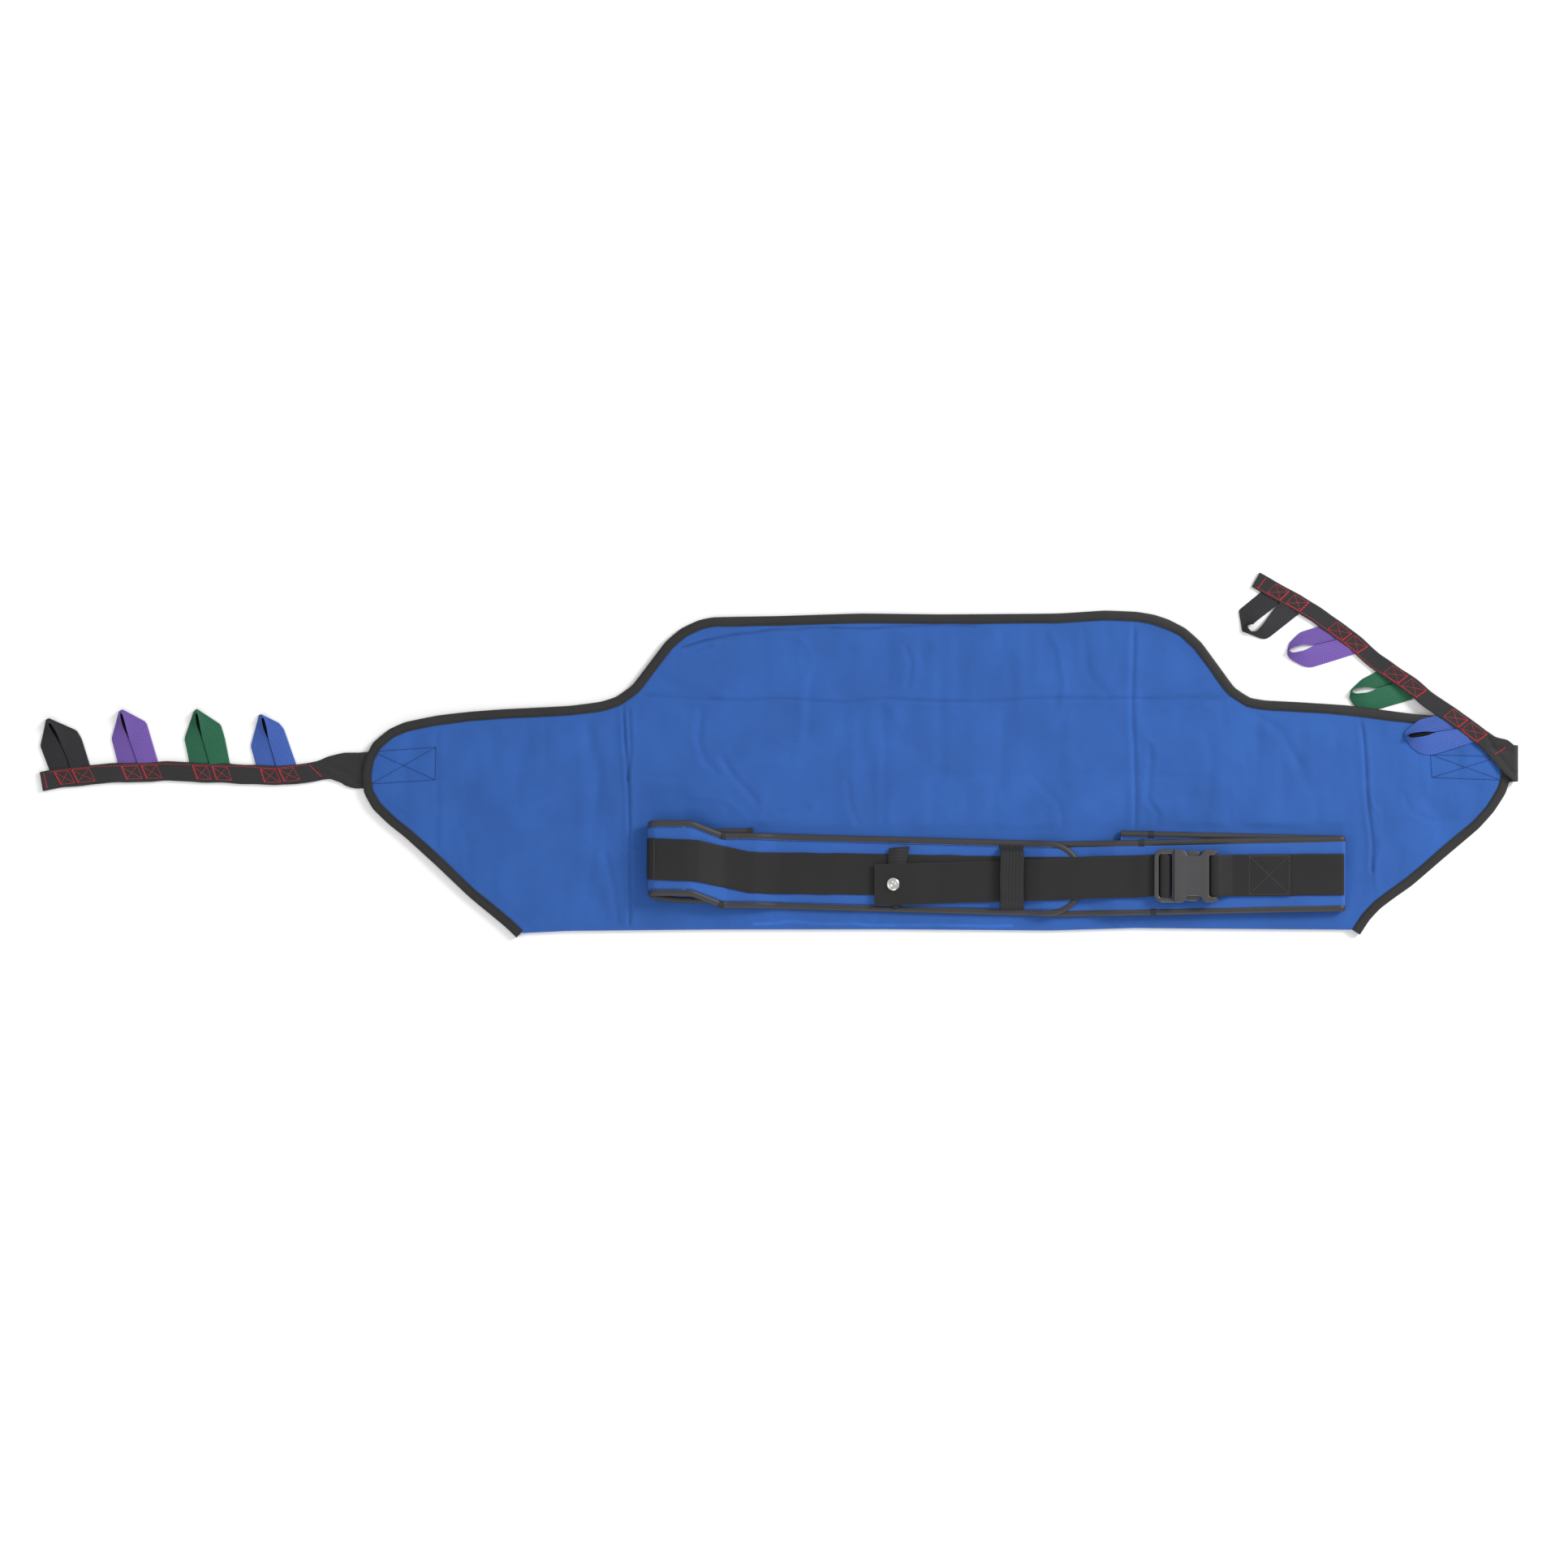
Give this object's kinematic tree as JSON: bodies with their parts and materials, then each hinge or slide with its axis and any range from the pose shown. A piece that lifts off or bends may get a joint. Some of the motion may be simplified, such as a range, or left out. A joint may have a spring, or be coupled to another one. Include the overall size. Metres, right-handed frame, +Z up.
{
  "type": "stand assist patient sling",
  "caption": "Padded stand-assist transfer sling laid flat, with a buckled waist belt and a webbing strap with coloured hook loops at each tapered end.",
  "frame": {"origin": "centre of the back panel, on its underside", "axes": "+X along the sling towards the right wing, +Y towards the upper edge, +Z up out of the patient side"},
  "size_m": [1.7851, 0.4345, 0.0307],
  "materials": {
    "blue_cloth": "woven nylon, low sheen",
    "foam": "open-cell foam",
    "binding_tape": "twill tape",
    "piping": "covered cord",
    "belt_webbing": "ribbed polypropylene webbing",
    "strap_webbing": "ribbed polyester webbing",
    "loop_black": "ribbed webbing",
    "loop_purple": "ribbed webbing",
    "loop_blue": "ribbed webbing",
    "loop_green": "ribbed webbing",
    "buckle_plastic": "satin acetal",
    "rivet_metal": "polished"
  },
  "bodies": {
    "back_panel": {"back_panel_cloth": "blue_cloth", "back_panel_foam": "foam", "back_panel_binding": "binding_tape", "lower_corner_binding": "binding_tape", "belt_left_root": "blue_cloth", "belt_left_root_piping_upper": "piping", "belt_left_root_piping_lower": "piping", "belt_right_root": "blue_cloth", "belt_right_root_piping_upper": "piping", "belt_right_root_piping_lower": "piping"},
    "left_wing": {"left_wing_cloth": "blue_cloth", "left_wing_foam": "foam", "left_wing_binding": "binding_tape", "left_strap_anchor": "strap_webbing"},
    "right_wing": {"right_wing_front_cloth": "blue_cloth", "right_wing_back_cloth": "blue_cloth", "right_wing_foam": "foam", "right_wing_binding": "binding_tape", "right_strap_anchor": "strap_webbing", "right_strap_turn": "strap_webbing"},
    "left_strap": {"left_strap": "strap_webbing"},
    "right_strap": {"right_strap": "strap_webbing"},
    "right_strap_end": {"right_strap_end": "strap_webbing"},
    "belt_front": {"belt_left_panel": "blue_cloth", "belt_left_panel_piping_upper": "piping", "belt_left_panel_piping_lower": "piping", "belt_right_panel": "blue_cloth", "belt_right_panel_piping_upper": "piping", "belt_right_panel_piping_lower": "piping", "belt_right_fold": "blue_cloth", "belt_left_band": "belt_webbing", "belt_right_band": "belt_webbing", "belt_keeper": "belt_webbing", "buckle_female": "buckle_plastic"},
    "buckle_male": {"buckle_male": "buckle_plastic", "belt_tail": "belt_webbing"},
    "buckle_prong_upper": {"buckle_prong_upper": "buckle_plastic"},
    "buckle_prong_lower": {"buckle_prong_lower": "buckle_plastic"},
    "tail_end": {"tail_end": "belt_webbing", "tail_tag": "belt_webbing", "rivet_cap": "rivet_metal", "rivet_base": "rivet_metal"},
    "left_loop_black": {"left_loop_black": "loop_black"},
    "left_loop_purple": {"left_loop_purple": "loop_purple"},
    "left_loop_green": {"left_loop_green": "loop_green"},
    "left_loop_blue": {"left_loop_blue": "loop_blue"},
    "right_loop_black": {"right_loop_black": "loop_black"},
    "right_loop_purple": {"right_loop_purple": "loop_purple"},
    "right_loop_green": {"right_loop_green": "loop_green"},
    "right_loop_blue": {"right_loop_blue": "loop_blue"}
  },
  "joints": [
    {"name": "left_wing_fold", "type": "hinge", "parent": "back_panel", "child": "left_wing", "pos_m": [-0.3724, 0, 0.0072], "axis": [0, 1, 0], "range_deg": [0, 85]},
    {"name": "right_wing_fold", "type": "hinge", "parent": "back_panel", "child": "right_wing", "pos_m": [0.5292, 0, 0.0072], "axis": [0, -1, 0], "range_deg": [0, 85]},
    {"name": "left_strap_fold", "type": "hinge", "parent": "left_wing", "child": "left_strap", "pos_m": [-0.6943, 0.0029, 0.0034], "axis": [0, 1, 0], "range_deg": [0, 100]},
    {"name": "right_strap_unfold", "type": "hinge", "parent": "right_wing", "child": "right_strap", "pos_m": [0.6995, 0.01, 0.0121], "axis": [0, 1, 0], "range_deg": [0, 178]},
    {"name": "right_strap_level", "type": "hinge", "parent": "right_strap", "child": "right_strap_end", "pos_m": [0.566, 0.111, 0.0076], "axis": [0, -1, 0], "range_deg": [-85, 0]},
    {"name": "belt_lift", "type": "slide", "parent": "back_panel", "child": "belt_front", "axis": [0, 0, 1], "range_m": [0, 0.06]},
    {"name": "buckle_release", "type": "slide", "parent": "belt_front", "child": "buckle_male", "axis": [-1, 0, 0], "range_m": [0, 0.036]},
    {"name": "prong_upper_squeeze", "type": "hinge", "parent": "buckle_male", "child": "buckle_prong_upper", "pos_m": [0.2915, -0.1075, 0.0243], "axis": [0, 0, -1], "range_deg": [0, 20]},
    {"name": "prong_lower_squeeze", "type": "hinge", "parent": "buckle_male", "child": "buckle_prong_lower", "pos_m": [0.2915, -0.1425, 0.0243], "axis": [0, 0, 1], "range_deg": [0, 20]},
    {"name": "tail_end_flip", "type": "hinge", "parent": "buckle_male", "child": "tail_end", "pos_m": [0.0706, -0.1316, 0.0145], "axis": [0, 1, 0], "range_deg": [0, 90]},
    {"name": "left_loop_black_fold", "type": "hinge", "parent": "left_strap", "child": "left_loop_black", "pos_m": [-1.04422, 0.00552, 0.0034], "axis": [0.9928, 0.1196, 0], "range_deg": [0, 150]},
    {"name": "left_loop_purple_fold", "type": "hinge", "parent": "left_strap", "child": "left_loop_purple", "pos_m": [-0.96031, 0.01164, 0.0034], "axis": [0.9991, 0.0419, 0], "range_deg": [0, 150]},
    {"name": "left_loop_green_fold", "type": "hinge", "parent": "left_strap", "child": "left_loop_green", "pos_m": [-0.87319, 0.01088, 0.0034], "axis": [0.9993, -0.0371, 0], "range_deg": [0, 150]},
    {"name": "left_loop_blue_fold", "type": "hinge", "parent": "left_strap", "child": "left_loop_blue", "pos_m": [-0.79213, 0.0093, 0.0034], "axis": [0.9993, 0.0369, 0], "range_deg": [0, 150]},
    {"name": "right_loop_black_fold", "type": "hinge", "parent": "right_strap_end", "child": "right_loop_black", "pos_m": [0.41206, 0.20696, 0.0034], "axis": [-0.8742, 0.4856, 0], "range_deg": [0, 150]},
    {"name": "right_loop_purple_fold", "type": "hinge", "parent": "right_strap_end", "child": "right_loop_purple", "pos_m": [0.47427, 0.16801, 0.0034], "axis": [-0.7978, 0.6029, 0], "range_deg": [0, 150]},
    {"name": "right_loop_green_fold", "type": "hinge", "parent": "right_strap_end", "child": "right_loop_green", "pos_m": [0.54198, 0.11529, 0.0034], "axis": [-0.8101, 0.5863, 0], "range_deg": [0, 80]},
    {"name": "right_loop_blue_fold", "type": "hinge", "parent": "right_strap", "child": "right_loop_blue", "pos_m": [0.60788, 0.0665, 0.0107], "axis": [-0.816, 0.5781, 0], "range_deg": [0, 110]}
  ],
  "couplings": [
    {"joint": "right_strap_level", "follows": "right_wing_fold", "ratio": -1},
    {"joint": "prong_upper_squeeze", "follows": "buckle_release", "rad_per_m": 9.5},
    {"joint": "prong_lower_squeeze", "follows": "buckle_release", "rad_per_m": 9.5}
  ]
}
